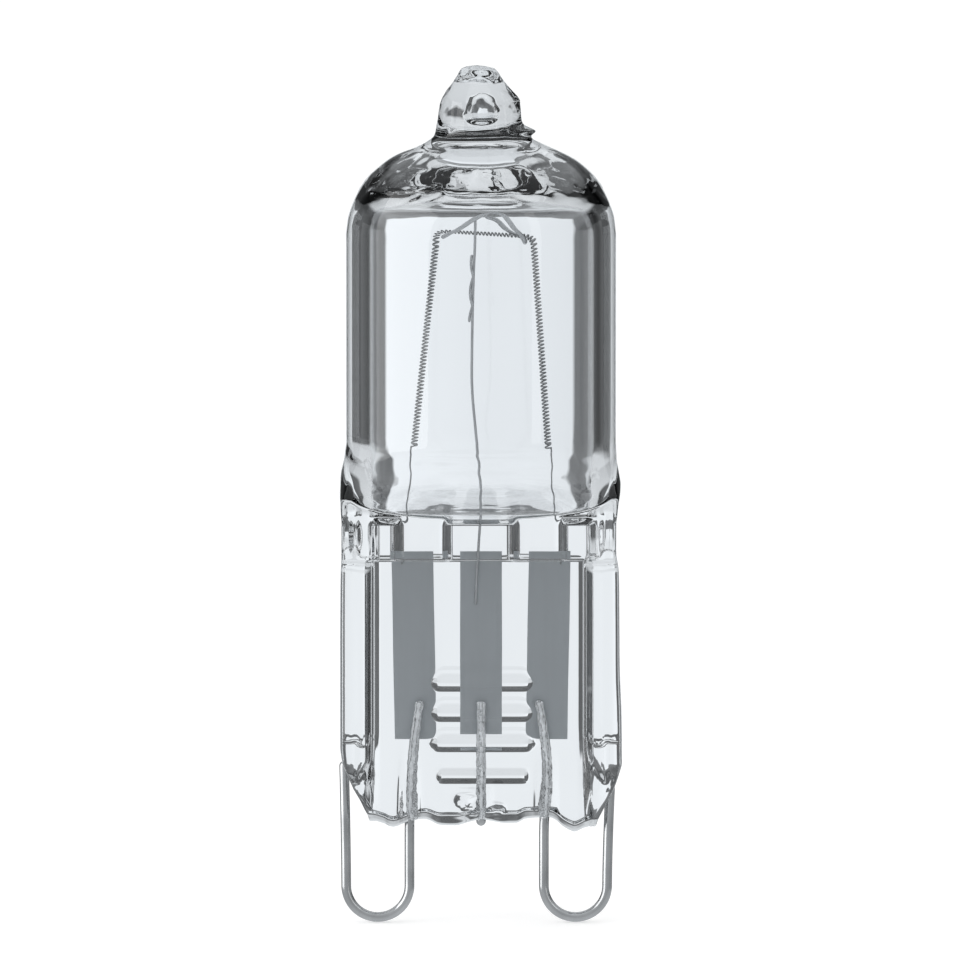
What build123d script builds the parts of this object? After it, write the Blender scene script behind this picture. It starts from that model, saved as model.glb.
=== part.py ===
"""Halogen capsule bulb with a pressed, two-loop base.

Millimetres, +Z up along the bulb's axis. X runs along the line of the two contact loops, and the
front of the bulb faces -Y. The origin lies on the tube's axis at the height of the loops' tips.
"""

from build123d import *
from math import cos, pi, radians, sin, tan
import os

os.makedirs("parts", exist_ok=True)

# Contact loops of the base
loop_spacing = 9.0        # between the middles of the two loops
leg_gap = 2.88            # between the two legs of one loop, axis to axis
lead_d = 0.46             # contact wire
seal_shift = 0.2          # the loops sit this far to the left of the tube's axis, as pressed
left_leg_end = 7.15       # height of the free end of the left loop
right_leg_end = 6.1       # height of the free end of the right loop
lead_weld = 1.65          # length of contact wire that lies on its foil
lead_bend = 1.5           # bend of the wire where it leans towards the foil
lead_bend_below = 0.6     # that bend lies this far under the foil
left_lean = 0.22          # shift of the left wire to the right under its foil
left_weld_lean = 0.5      # and at the top of its weld
right_lean = 0.1
right_weld_lean = -0.22
wire_sides = 12           # a round wire is drawn with this many flats, one of them facing the foils

# Pinch, the flat pressed seal
pinch_bottom = 4.5        # above the tips of the loops
pinch_length = 11.98
pinch_width = 12.8
web_thickness = 2.3
web_width = 9.24
rail_thickness = 4.3
rail_slope = 0.62         # width of the sloped wall between web and rail
rail_corner = 0.35
pinch_draft = 0.11        # the pinch is narrower by this much on each side at its top
corner_height = 2.8       # slanted corners at the foot of the pinch
corner_width = 1.15
foot_wave = 0.3           # depth of the waves along the bottom edge
facet_height = 2.1        # pressed facet at the foot of each rail
facet_depth = 0.4
facet_rise = 0.95         # the facet ends this far above the slanted corners

# Ribs across the web, front and back
rib_count = 3
rib_pitch = 1.385
rib_length = 4.54
rib_height = 0.83
rib_depth = 0.33
rib_end = 0.3             # the ribs' corners are cut by this much
rib_above_foot = 3.69     # the lowest rib's middle above the foot of the pinch
bar_above_foot = 1.94     # the thin bar's middle above the foot of the pinch
bar_height = 0.34
bar_depth = 0.2

# Neck between pinch and bulb, with its raised pads and windows
neck_length = 2.02
neck_step = 0.15          # the neck is narrower than the pinch by this much on each side
neck_thickness = 3.9
neck_corner = 0.6
window_depth = 0.62
window_draft = 22
centre_window = 2.8
pad_width = 1.8
side_window = 0.95
centre_wall = 0.3         # width of the drafted wall beside the middle window
side_wall = 0.35          # and of the one beside each side window
window_drop = 0.42        # the windows' upper edge lies this far under the top of the neck
window_reach = 0.3        # and they run down into the pinch by this much
ledge_height = 0.5        # slope under the neck

# Bulb
shoulder_length = 3.4
shoulder_bulge = 0.05     # the shoulder swells past the pinch by this much at the sides
tube_d = 12.26
tube_wall = 0.92
tube_length = 9.65
dome_radius = 3.7
dome_slope = 26
dome_bands = 5            # the dome's turn is drawn with this many flat bands

# Exhaust tip
tip_root_d = 4.7
tip_d = 3.7
tip_height = 3.35
bubble_d = 1.64
bubble_height = 1.25
bubble_above_root = 0.5

# Foils
foil_width = 1.9
foil_length = 8.6
foil_thickness = 0.05
foil_edge = 0.02          # the long edges are etched down to this thickness
foil_feather = 0.25
foil_offset = 3.05        # from the middle foil to each outer foil
foil_lean = 1.0
foil_rise = 0.5           # the foils reach this far into the neck

# Middle lead
stub_weld = 1.6
stub_above_foot = 0.1

# Filament
coil_d = 0.33
filament_wire = 0.09
coil_pitch = 0.162
turn_sides = 4            # each turn is drawn with this many straight sides
fine_sides = 3            # and the fine wire itself with this many flats
coil_bend = 0.4
coil_foot_width = 6.12    # between the two legs at their feet
coil_top_left = 1.98      # from the bulb's axis to each upper corner
coil_top_right = 2.38
coil_foot_rise = 3.2      # the coil starts this far above the neck
coil_height = 9.9
coil_sag = 0.37           # the right corner hangs this much lower
tail_weld = 0.6
tail_bend = 0.7           # each tail bends this far above the neck
tail_left = 0.5           # the left weld lies this far outside its foil's middle
tail_left_bend = 0.42
tail_right = 0.55
tail_right_bend = 0.3

# Support wires and hook
support_d = 0.12
support_weld = 1.9
support_straight = 1.8    # the wire leaves the bulb's axis this far above the neck
support_lean_at = 5.6     # and leans furthest to the left this far above it
support_lean = 0.42
support_bend = 1.2
splice_lean = 0.37        # lean at the foot of the splice
splice_length = 2.9
splice_above_neck = 9.0
hook_wire = 0.23
hook_rise = 1.25          # crown of the hook above the coil
hook_crown = 0.57         # the crown lies this far to the right of the bulb's axis
hook_bend = 0.18          # the free end dips and rises by multiples of this
hook_clearance = 0.05

# Heights, from the loops' tips up
pinch_top = pinch_bottom + pinch_length
neck_top = pinch_top + neck_length
tube_bottom = neck_top + shoulder_length
tube_top = tube_bottom + tube_length
tube_r = tube_d / 2
bore_r = tube_r - tube_wall
lead_r = lead_d / 2
lead_flat = lead_r * cos(pi / wire_sides)
foil_front = lead_flat
foil_middle = foil_front + foil_thickness / 2
foil_top = pinch_top + foil_rise
foil_bottom = foil_top - foil_length
half_pinch = pinch_width / 2
web_face = web_thickness / 2
rail_face = rail_thickness / 2
neck_face = neck_thickness / 2


def save(piece, name):
    """Names a finished piece and writes it."""
    piece.label = name
    export_step(piece, f"parts/{name}.step")


def wire(line, diameter, sides=wire_sides, facing=(0, 1, 0), bend=Transition.TRANSFORMED):
    """A wire along a line. One of its flats looks along facing."""
    with BuildPart() as strand:
        with BuildSketch(Plane(origin=line @ 0, x_dir=facing, z_dir=line % 0)):
            RegularPolygon(diameter / 2, sides, rotation=180 / sides)
        sweep(path=line, transition=bend)
    return strand.part


# Foils: thin strips with etched edges, the outer two leaning in towards the foot
def foil(lean_to):
    """One foil. lean_to is -1 for the left one, 0 for the middle one and 1 for the right one."""
    lean = radians(foil_lean * lean_to)
    top = Vector(foil_offset * lean_to + sin(lean) * foil_length / 2, foil_middle, foil_top)
    down = Vector(-sin(lean), 0, -cos(lean))
    half, flat = foil_width / 2, foil_width / 2 - foil_feather
    thick, thin = foil_thickness / 2, foil_edge / 2
    outline = [(-half, -thin), (-flat, -thick), (flat, -thick), (half, -thin)]
    with BuildPart() as strip:
        with BuildSketch(Plane(origin=top, x_dir=(cos(lean), 0, -sin(lean)), z_dir=down)):
            with BuildLine():
                Polyline(*outline, *[(x, -y) for x, y in reversed(outline)], close=True)
            make_face()
        extrude(amount=foil_length)
    return strip.part


foils = {"foil_left": foil(-1), "foil_middle": foil(0), "foil_right": foil(1)}


# Contact loops: one wire each, from the weld down through the pinch, round the loop and up again
def contact_loop(middle, inward, leg_end, lean, weld_lean):
    """One loop. inward is 1 where the pinch's middle lies towards +X.

    lean and weld_lean are its shifts to the right under the foil and at the top of its weld.
    """
    bend_r = leg_gap / 2
    inner = middle + inward * bend_r
    outer = middle - inward * bend_r
    weld_top = foil_bottom + lead_weld
    with BuildLine(Plane.XZ) as path:
        FilletPolyline(
            (inner + weld_lean, weld_top),
            (inner + lean, foil_bottom - lead_bend_below),
            (inner, pinch_bottom),
            (inner, bend_r + lead_flat),
            radius=lead_bend,
        )
        ThreePointArc(
            (inner, bend_r + lead_flat),
            (middle, lead_flat),
            (outer, bend_r + lead_flat),
        )
        Line((outer, bend_r + lead_flat), (outer, leg_end))
    return wire(path.wires()[0], lead_d)


left_middle = -loop_spacing / 2 - seal_shift
right_middle = loop_spacing / 2 - seal_shift
loops = {
    "contact_loop_left": contact_loop(left_middle, 1, left_leg_end, left_lean, left_weld_lean),
    "contact_loop_right": contact_loop(right_middle, -1, right_leg_end, right_lean, right_weld_lean),
}

# Middle lead: a straight stub, cropped at the foot of the pinch
with BuildLine() as stub_path:
    Line((0, 0, pinch_bottom + stub_above_foot), (0, 0, foil_bottom + stub_weld))
middle_lead = wire(stub_path.wires()[0], lead_d)

# Filament: a coil over the hook, with a straight tail welded to each outer foil
coil_y = foil_front - filament_wire / 2 * cos(pi / fine_sides)
coil_foot = neck_top + coil_foot_rise
coil_top = coil_foot + coil_height
coil_r = (coil_d - filament_wire) / 2
left_foot = (-coil_foot_width / 2, coil_foot)
left_corner = (-coil_top_left, coil_top)
right_corner = (coil_top_right, coil_top - coil_sag)
right_foot = (coil_foot_width / 2, coil_foot)
with BuildLine(Plane.XZ.offset(-coil_y)) as coil_axis:
    FilletPolyline(left_foot, left_corner, right_corner, right_foot, radius=coil_bend)
axis = coil_axis.wires()[0]
turns = round(axis.length / coil_pitch)
steps = turns * turn_sides


def coil_point(step):
    """A corner of the coil's wire, counted from the left foot."""
    along = step / steps
    angle = 2 * pi * step / turn_sides
    sideways = Vector(0, 1, 0)
    outward = sideways.cross(axis % along)
    return (axis @ along) - outward * coil_r * cos(angle) + sideways * coil_r * sin(angle)


with BuildLine() as winding:
    Polyline(*[coil_point(step) for step in range(steps + 1)])


def tail(weld, neck, end):
    """A straight tail from its weld on a foil up to the coil's end."""
    with BuildLine(Plane.XZ.offset(-coil_y)) as path:
        Polyline(weld, neck, end)
    return wire(path.wires()[0], filament_wire, fine_sides, bend=Transition.RIGHT)


tail_end_left = coil_point(0)
tail_end_right = coil_point(steps)
tails = [
    tail(
        (-foil_offset - tail_left, foil_top - tail_weld),
        (-foil_offset - tail_left_bend, neck_top + tail_bend),
        (tail_end_left.X, tail_end_left.Z + filament_wire),
    ),
    tail(
        (foil_offset + tail_right, foil_top - tail_weld),
        (foil_offset + tail_right_bend, neck_top + tail_bend),
        (tail_end_right.X, tail_end_right.Z + filament_wire),
    ),
]
with BuildPart() as filament:
    add(wire(winding.wires()[0], filament_wire, fine_sides, bend=Transition.RIGHT))
    add(tails, clean=False)

# Hook: a stiffer wire that carries both upper corners of the coil
hook_r = hook_wire / 2
hook_away = coil_d / 2 + hook_r + hook_clearance
hook_front = coil_y - hook_away
hook_back = coil_y + hook_away
under_left = (-coil_top_left + hook_away, coil_top - hook_away - hook_clearance)
under_right = (coil_top_right - hook_away, coil_top - coil_sag - hook_away)
crown_z = coil_top + hook_rise
with BuildLine() as hook_path:
    Polyline(
        (under_left[0] - hook_r, hook_back, under_left[1] - hook_r / 2),
        (under_left[0], hook_front, under_left[1]),
        (hook_crown, hook_front, crown_z),
        (under_right[0], hook_front, under_right[1]),
        (under_right[0], hook_back, under_right[1]),
        (hook_crown + hook_bend, hook_back, crown_z - 3.5 * hook_bend),
        (hook_crown - 2 * hook_bend, hook_back, crown_z - 2 * hook_bend),
    )
filament_hook = wire(hook_path.wires()[0], hook_wire, facing=(0, 0, 1), bend=Transition.RIGHT)

# Support wire: from the middle foil up to the hook's left arm, with the bends of the real one
support_r = support_d / 2
support_y = foil_front - support_r * cos(pi / wire_sides)
splice_foot = neck_top + splice_above_neck
arm_slope = (crown_z - under_left[1]) / (hook_crown - under_left[0])
support_top_x = -2 * support_d
support_top_y = coil_y - coil_d / 2 - support_r - hook_clearance
arm_z = under_left[1] + (support_top_x - under_left[0]) * arm_slope
with BuildLine() as support_path:
    FilletPolyline(
        (0, support_y, foil_top - support_weld),
        (0, support_y, neck_top + support_straight),
        (-support_lean, support_y, neck_top + support_lean_at),
        (-splice_lean, support_y, splice_foot),
        (support_top_x, support_top_y, splice_foot + splice_length),
        (support_top_x, support_top_y, arm_z),
        radius=support_bend,
    )
support_wire = wire(support_path.wires()[0], support_d) - filament_hook

# Splice: a short second wire lying along the support wire
splice_side = -(support_d + hook_clearance / 2)
with BuildLine() as splice_path:
    Line(
        (-splice_lean + splice_side, support_y, splice_foot),
        (support_top_x + splice_side, support_top_y, splice_foot + splice_length),
    )
support_splice = wire(splice_path.wires()[0], support_d)

# Capsule: one piece of glass, from the pressed pinch up to the exhaust tip
rail_inner = web_width / 2
rail_flat = rail_inner + rail_slope
foot_low = pinch_bottom - 2 * foot_wave
section = [
    (half_pinch, 0),
    (half_pinch, rail_face),
    (rail_flat, rail_face),
    (rail_inner, web_face),
    (0, web_face),
]
with BuildPart() as pinch:
    with BuildSketch(Plane.XY.offset(foot_low)) as pinch_section:
        with BuildLine() as quarter:
            Polyline(*section)
            mirror(about=Plane.YZ)
            mirror(about=Plane.XZ)
        make_face()
        corners = pinch_section.vertices().filter_by(lambda v: abs(v.X) > half_pinch - 0.01)
        fillet(corners.filter_by(lambda v: abs(v.Y) > web_face), rail_corner)
    extrude(amount=pinch_top - foot_low)
    # Front outline: drafted sides, slanted corners and a wavy foot
    foot_x = half_pinch - corner_width
    waves = [(-4.1, -0.5), (-2.6, 0.7), (-1.4, -0.2), (0, 0.7), (1.0, 0), (2.9, 1), (4.25, -1.2)]
    with BuildSketch(Plane.XZ):
        with BuildLine():
            foot = Spline(
                (-foot_x, pinch_bottom + foot_wave / 2),
                *[(x, pinch_bottom + foot_wave * rise) for x, rise in waves],
                (foot_x, pinch_bottom),
            )
            Polyline(
                foot @ 1,
                (half_pinch, pinch_bottom + corner_height),
                (half_pinch - pinch_draft, pinch_top + 1),
                (-half_pinch + pinch_draft, pinch_top + 1),
                (-half_pinch, pinch_bottom + corner_height),
                foot @ 0,
            )
        make_face()
    extrude(amount=rail_thickness, both=True, mode=Mode.INTERSECT)
    # Side outline: the rails thin out in a slanted facet towards the foot
    facet_top = pinch_bottom + corner_height + facet_rise
    with BuildSketch(Plane.YZ):
        with BuildLine():
            Polyline(
                (0, foot_low),
                (web_face - 0.4, foot_low),
                (web_face, pinch_bottom + 0.2),
                (rail_face - facet_depth, facet_top - facet_height),
                (rail_face, facet_top),
                (rail_face, pinch_top + 1),
                (0, pinch_top + 1),
            )
            mirror(about=Plane.YZ)
        make_face()
    extrude(amount=pinch_width, both=True, mode=Mode.INTERSECT)

with BuildPart() as front_ribs:
    with BuildSketch(Plane.XZ.offset(web_face - 0.1)) as ribs:
        for number in range(rib_count):
            with Locations((0, pinch_bottom + rib_above_foot + number * rib_pitch)):
                Rectangle(rib_length, rib_height)
        chamfer(ribs.vertices(), rib_end)
    extrude(amount=rib_depth + 0.1, taper=25)
    with BuildSketch(Plane.XZ.offset(web_face - 0.1)):
        with Locations((0, pinch_bottom + bar_above_foot)):
            Rectangle(rib_length - rib_height, bar_height)
    extrude(amount=bar_depth + 0.1, taper=15)

window_top = neck_top - window_drop
window_low = pinch_top - window_reach
window_height = window_top - window_low
side_middle = centre_window / 2 + centre_wall + pad_width + side_wall + side_window / 2
with BuildPart() as front_windows:
    with BuildSketch(Plane.XZ.offset(neck_face - window_depth)):
        with Locations((0, (window_top + window_low) / 2)):
            Rectangle(centre_window, window_height)
        with Locations(*[(side * side_middle, (window_top + window_low) / 2) for side in (-1, 1)]):
            Rectangle(side_window, window_height)
    extrude(amount=window_depth + 0.6, taper=-window_draft)

with BuildPart() as neck:
    with BuildSketch(Plane.YZ):
        with BuildLine():
            Polyline(
                (0, pinch_top - 0.2),
                (web_face, pinch_top),
                (neck_face, pinch_top + ledge_height),
                (neck_face, neck_top + 0.3),
                (web_face, neck_top + 1),
                (0, neck_top + 1),
            )
            mirror(about=Plane.YZ)
        make_face()
    extrude(amount=half_pinch - neck_step, both=True)
    fillet(neck.edges().filter_by(Axis.Z), neck_corner)
    add(front_windows.part, mode=Mode.SUBTRACT)
    mirror(front_windows.part, about=Plane.XZ, mode=Mode.SUBTRACT)

# Half widths and half depths of the shoulder and of the hollow in it, by height above the neck
swell_r = half_pinch + shoulder_bulge
shoulder = [
    (1.0, tube_r, tube_r),
    (0.72, (tube_r + swell_r) / 2, tube_r * 0.95),
    (0.42, swell_r, tube_r * 0.74),
    (0.12, swell_r - 0.1, neck_face + 0.75),
    (-0.06, half_pinch - 3 * neck_step, neck_face + 0.1),
]
hollow = [
    (1.0, bore_r, bore_r),
    (0.72, bore_r, bore_r * 0.92),
    (0.42, bore_r - 0.1, bore_r * 0.6),
    (0.2, bore_r - 0.5, bore_r * 0.3),
    (0.06, bore_r * 0.6, bore_r * 0.12),
]
slope = tan(radians(dome_slope))


def dome(radius):
    """The outline of a dome from the tube's wall up to its slope."""
    turn = radians(90 - dome_slope) / dome_bands
    middle = tube_r - dome_radius
    angles = [turn * band for band in range(dome_bands + 1)]
    return [(middle + radius * cos(angle), tube_top + radius * sin(angle)) for angle in angles]


outer_dome = dome(dome_radius)
inner_dome = dome(dome_radius - tube_wall)
tip_root_r = tip_root_d / 2
tip_r = tip_d / 2
tip_root = outer_dome[-1][1] + (outer_dome[-1][0] - tip_root_r) * slope
ceiling = inner_dome[-1][1] + inner_dome[-1][0] * slope / 2
bubble_foot = tip_root + bubble_above_root
bubble_r = bubble_d / 2

with BuildPart() as capsule:
    add(pinch.part)
    add(neck.part)
    add(front_ribs.part)
    mirror(front_ribs.part, about=Plane.XZ)
    for height, half_x, half_y in shoulder:
        with BuildSketch(Plane.XY.offset(neck_top + height * shoulder_length)):
            Ellipse(half_x, half_y)
    loft(ruled=True)
    # Tube, dome and exhaust tip
    with BuildSketch(Plane.XZ):
        with BuildLine():
            Polyline(
                (0, tube_bottom),
                (tube_r, tube_bottom),
                *outer_dome,
                (tip_root_r, tip_root),
                (tip_r * 1.05, tip_root + tip_height * 0.22),
                (tip_r, tip_root + tip_height * 0.5),
                (tip_r * 0.84, tip_root + tip_height * 0.68),
                (tip_r * 0.42, tip_root + tip_height * 0.96),
                (0, tip_root + tip_height),
                close=True,
            )
        make_face()
    revolve(axis=Axis.Z)
    # Sealed hollow
    for height, half_x, half_y in hollow:
        with BuildSketch(Plane.XY.offset(neck_top + height * shoulder_length)):
            Ellipse(half_x, half_y)
    loft(ruled=True, mode=Mode.SUBTRACT)
    with BuildSketch(Plane.XZ):
        with BuildLine():
            Polyline((0, tube_bottom), (bore_r, tube_bottom), *inner_dome, (0, ceiling), close=True)
        make_face()
    revolve(axis=Axis.Z, mode=Mode.SUBTRACT)
    # Bubble left in the exhaust tip
    with BuildSketch(Plane.XZ):
        with BuildLine():
            Polyline(
                (0, bubble_foot),
                (bubble_r * 0.8, bubble_foot + bubble_height * 0.15),
                (bubble_r, bubble_foot + bubble_height * 0.45),
                (0, bubble_foot + bubble_height),
                close=True,
            )
        make_face()
    revolve(axis=Axis.Z, mode=Mode.SUBTRACT)
    # The glass closes round everything that is sealed into it
    for piece in (*foils.values(), *loops.values(), middle_lead, support_wire, *tails):
        add(piece, mode=Mode.SUBTRACT)

save(capsule.part, "glass_capsule")
save(filament.part, "filament")
save(filament_hook, "filament_hook")
save(support_wire, "support_wire")
save(support_splice, "support_splice")
save(middle_lead, "middle_lead")
for name, piece in (*foils.items(), *loops.items()):
    save(piece, name)
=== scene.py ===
"""Halogen capsule bulb: the looks of its pieces and the studio round it, laid out as an add-on."""

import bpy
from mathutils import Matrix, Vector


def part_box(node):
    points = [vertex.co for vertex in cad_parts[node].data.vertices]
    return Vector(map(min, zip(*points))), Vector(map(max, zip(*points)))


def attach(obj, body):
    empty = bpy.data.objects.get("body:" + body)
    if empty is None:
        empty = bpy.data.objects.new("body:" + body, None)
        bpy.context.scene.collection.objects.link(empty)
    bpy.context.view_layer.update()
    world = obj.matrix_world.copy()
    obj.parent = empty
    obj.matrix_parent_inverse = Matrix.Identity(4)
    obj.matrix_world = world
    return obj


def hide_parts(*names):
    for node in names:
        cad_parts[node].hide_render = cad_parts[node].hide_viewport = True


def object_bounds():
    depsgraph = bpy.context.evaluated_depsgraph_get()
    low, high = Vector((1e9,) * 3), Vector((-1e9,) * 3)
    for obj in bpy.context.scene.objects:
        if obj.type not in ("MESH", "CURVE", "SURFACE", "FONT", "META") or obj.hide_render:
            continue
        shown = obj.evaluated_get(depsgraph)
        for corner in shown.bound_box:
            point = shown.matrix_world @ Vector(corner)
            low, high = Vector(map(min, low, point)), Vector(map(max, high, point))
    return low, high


bl_info = {
    "name": "Halogen capsule bulb",
    "version": (1, 0, 0),
    "blender": (4, 5, 0),
    "location": "3D View > Sidebar > Bulb",
    "description": "Makes a clear halogen capsule bulb and its studio",
    "category": "Add Mesh",
}

from math import cos, pi, radians, sin

import bpy
import numpy as np
from bpy.props import FloatProperty, FloatVectorProperty, IntProperty, PointerProperty
from bpy.types import Operator, Panel, PropertyGroup
from mathutils import Vector, noise

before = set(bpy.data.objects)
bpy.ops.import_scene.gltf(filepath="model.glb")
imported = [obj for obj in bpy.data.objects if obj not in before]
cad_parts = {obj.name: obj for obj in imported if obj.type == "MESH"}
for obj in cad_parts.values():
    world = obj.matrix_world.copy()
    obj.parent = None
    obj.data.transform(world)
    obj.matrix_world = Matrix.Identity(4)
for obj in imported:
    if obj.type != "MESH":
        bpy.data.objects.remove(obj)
cad_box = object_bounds()

MM = 0.001

# The glass and what it seals, read from the frame and given here in millimetres
_, glass_high = (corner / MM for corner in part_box("glass_capsule"))
loop_low, _ = (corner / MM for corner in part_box("contact_loop_left"))
coil_low, coil_high = (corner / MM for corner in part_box("filament"))
foil_low, foil_high = (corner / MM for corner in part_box("foil_middle"))
TUBE_R = glass_high.y
TIP_TOP = glass_high.z
WIRE_R = -loop_low.y
FOIL_FRONT = foil_low.y
FOIL_WIDTH = foil_high.x - foil_low.x
COIL_Y = (coil_low.y + coil_high.y) / 2

# Heights of the capsule's stretches, in millimetres over the loops' tips
ROWS_LOW = 4.2
ROWS_LEVEL = 6.2
BAR_HEIGHT = 6.44
FACET_TOP = 8.25
RIB_HEIGHTS = (8.19, 9.57, 10.95)
PINCH_TOP = 16.48
NECK_TOP = 18.5
HOLLOW_LOW = 18.72
TUBE_LOW = 21.9
TUBE_HIGH = 31.4
HOLLOW_HIGH = 34.74
BUBBLE_LOW = 36.2
BUBBLE_HIGH = 37.47
TIP_RING = 39.0

# Half widths: the sealed hollow, and the outermost columns of points on a face. Past SQUEEZE_X the
# columns give way to the uneven sides, and the last SIDE_TURN of the width turns to the back
HOLLOW_R = 5.11
FIXED_X = 5.9
SQUEEZE_X = 4.2
SIDE_TURN = 0.32


class GlassSizes(PropertyGroup):
    """Sizes of the glass that a user may change, in millimetres."""

    web: FloatProperty(name="Web", description="Half thickness of the pinch's web", default=1.15)
    rail: FloatProperty(name="Rail", description="Half thickness of the side rails", default=2.15)
    neck: FloatProperty(name="Neck", description="Half thickness of the neck", default=1.95)
    window: FloatProperty(name="Window", description="Depth of the neck's windows", default=0.62)
    rib: FloatProperty(name="Rib", description="Height of the cross ribs over the web", default=0.3)
    ripple: FloatProperty(name="Ripple", description="Unevenness left by the pressing", default=0.012)
    columns: IntProperty(name="Columns", description="Columns across one face", default=98, min=40)
    rows: IntProperty(name="Rows", description="Rows from the foot up to the tube", default=235, min=80)


class WireSizes(PropertyGroup):
    """Sizes of the wires that a user may change, in millimetres."""

    coil: FloatProperty(name="Coil", description="Outer diameter of the coil", default=0.33)
    strand: FloatProperty(name="Strand", description="Diameter of the coiled wire", default=0.07)
    pitch: FloatProperty(name="Pitch", description="From one turn to the next", default=0.162)
    hook: FloatProperty(name="Hook", description="Diameter of the hook's wire", default=0.23)
    support: FloatProperty(name="Support", description="Diameter of the support wire", default=0.12)
    sides: IntProperty(name="Sides", description="Flats round a thick wire", default=28, min=8)


class Finishes(PropertyGroup):
    """Colours of the pieces."""

    glass: FloatVectorProperty(
        name="Glass", description="Tint of the quartz", subtype="COLOR", size=3,
        default=(0.985, 0.992, 1.0), min=0, max=1,
    )
    foil: FloatVectorProperty(
        name="Foil", description="Grey of the sealing foils", subtype="COLOR", size=3,
        default=(0.54, 0.57, 0.59), min=0, max=1,
    )
    contact: FloatVectorProperty(
        name="Contact", description="Bright wire of the contact loops", subtype="COLOR", size=3,
        default=(0.48, 0.485, 0.49), min=0, max=1,
    )
    tungsten: FloatVectorProperty(
        name="Tungsten", description="Drawn wire inside the bulb", subtype="COLOR", size=3,
        default=(0.52, 0.53, 0.54), min=0, max=1,
    )


class Studio(PropertyGroup):
    """Light and camera."""

    distance: FloatProperty(
        name="Distance", description="From the camera to the bulb", default=0.6, unit="LENGTH",
    )
    elevation: FloatProperty(
        name="Elevation", description="The camera looks down by this angle",
        default=radians(4.5), subtype="ANGLE",
    )
    frame_height: FloatProperty(
        name="Frame height", description="Height that the picture takes in at the bulb",
        default=0.04412, unit="LENGTH",
    )
    key: FloatProperty(name="Key", description="Power of the large soft lamp", default=1.9)
    fill: FloatProperty(name="Fill", description="Power of the smaller soft lamp", default=0.2)


# Curves and shapes worked out with arrays

def curve(points):
    """A smooth function through points (place, value, value...) that adds no hills between them."""
    points = np.array(sorted(points), float)
    place, values = points[:, 0], points[:, 1:]
    step = np.diff(place)[:, None]
    rise = np.diff(values, axis=0) / step
    slopes = np.zeros_like(values)
    turning = rise[:-1] * rise[1:] > 0
    together = rise[:-1] + rise[1:]
    slopes[1:-1][turning] = (2 * rise[:-1] * rise[1:])[turning] / together[turning]
    slopes[0], slopes[-1] = rise[0], rise[-1]

    def at(z):
        z = np.clip(np.asarray(z, float), place[0], place[-1])
        i = np.clip(np.searchsorted(place, z) - 1, 0, len(place) - 2)
        h = place[i + 1] - place[i]
        t = ((z - place[i]) / h)[..., None]
        h = h[..., None]
        value = (
            (2 * t**3 - 3 * t**2 + 1) * values[i]
            + (t**3 - 2 * t**2 + t) * h * slopes[i]
            + (3 * t**2 - 2 * t**3) * values[i + 1]
            + (t**3 - t**2) * h * slopes[i + 1]
        )
        return [value[..., k] for k in range(values.shape[1])]

    return at


def blend_max(a, b, width):
    """The larger of two heights, with the crease between them rounded over width."""
    h = np.clip(0.5 + 0.5 * (a - b) / width, 0, 1)
    return b + (a - b) * h + width * h * (1 - h)


def ramp(v, start, end, rounding=0.25):
    """Rises from 0 at start to 1 at end, straight between rounded corners."""
    t = (v - start) / (end - start)
    low = blend_max(t, 0, rounding)
    return 1 - blend_max(1 - low, 0, rounding)


def fall(v, full, end, rounding=0.25):
    """Falls from 1 at full to 0 at end, in the same way."""
    return ramp(-v, -end, -full, rounding)


def hump(v, middle, width):
    """A bell of height 1."""
    return np.exp(-(((v - middle) / width) ** 2))


def spread(low, high, count, dense):
    """Places from low to high, closer together near each (place, width, strength) of dense."""
    fine = np.linspace(low, high, 4000)
    weight = np.ones_like(fine)
    for place, width, strength in dense:
        weight += strength * hump(fine, place, width)
    total = np.concatenate([[0], np.cumsum((weight[1:] + weight[:-1]) / 2)])
    return np.interp(np.linspace(0, total[-1], count), total, fine)


def fractal(points, size, seed, octaves=3):
    """Soft noise at each point, about -1 to 1."""
    shift = Vector((seed * 7.3, seed * 3.1, seed * 5.7))
    return np.array(
        [noise.fractal(Vector(p) / size + shift, 0.6, 2.0, octaves) for p in points.reshape(-1, 3)]
    ).reshape(points.shape[:-1])


# The capsule's outlines, from the photo's edges: height, left edge, right edge
BODY_EDGES = curve([
    (4.1, -5.05, 5.2), (4.6, -5.15, 5.32), (4.95, -5.3, 5.48), (5.6, -5.55, 5.78), (6.3, -5.85, 6.08),
    (6.9, -6.1, 6.28), (7.4, -6.3, 6.4), (8.2, -6.4, 6.4), (9.6, -6.4, 6.38), (12.0, -6.4, 6.3),
    (14.7, -6.39, 6.28), (16.1, -6.37, 6.26), (17.0, -6.34, 6.14), (18.3, -6.34, 6.14),
    (18.7, -6.38, 6.2), (19.1, -6.41, 6.26), (19.6, -6.42, 6.34), (20.0, -6.41, 6.35),
    (20.5, -6.38, 6.28), (21.1, -6.25, 6.18), (21.9, -6.13, 6.13),
])
TIP_EDGES = curve([
    (31.4, -6.13, 6.13), (32.17, -6.03, 6.04), (32.91, -5.77, 5.78), (33.64, -5.39, 5.41),
    (34.0, -5.11, 5.16), (34.36, -4.7, 4.79), (34.73, -4.25, 4.33), (35.02, -3.74, 3.8),
    (35.37, -2.87, 3.03), (35.58, -2.44, 2.58), (35.77, -2.2, 2.26), (35.98, -2.09, 2.06),
    (36.18, -2.05, 1.96), (36.37, -2.02, 1.89), (36.6, -1.98, 1.84), (37.1, -1.92, 1.77),
    (37.47, -1.82, 1.71), (37.83, -1.62, 1.47), (38.2, -1.31, 1.14), (38.57, -1.03, 0.9),
    (38.93, -0.77, 0.64), (39.0, -0.6, 0.25),
])
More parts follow.
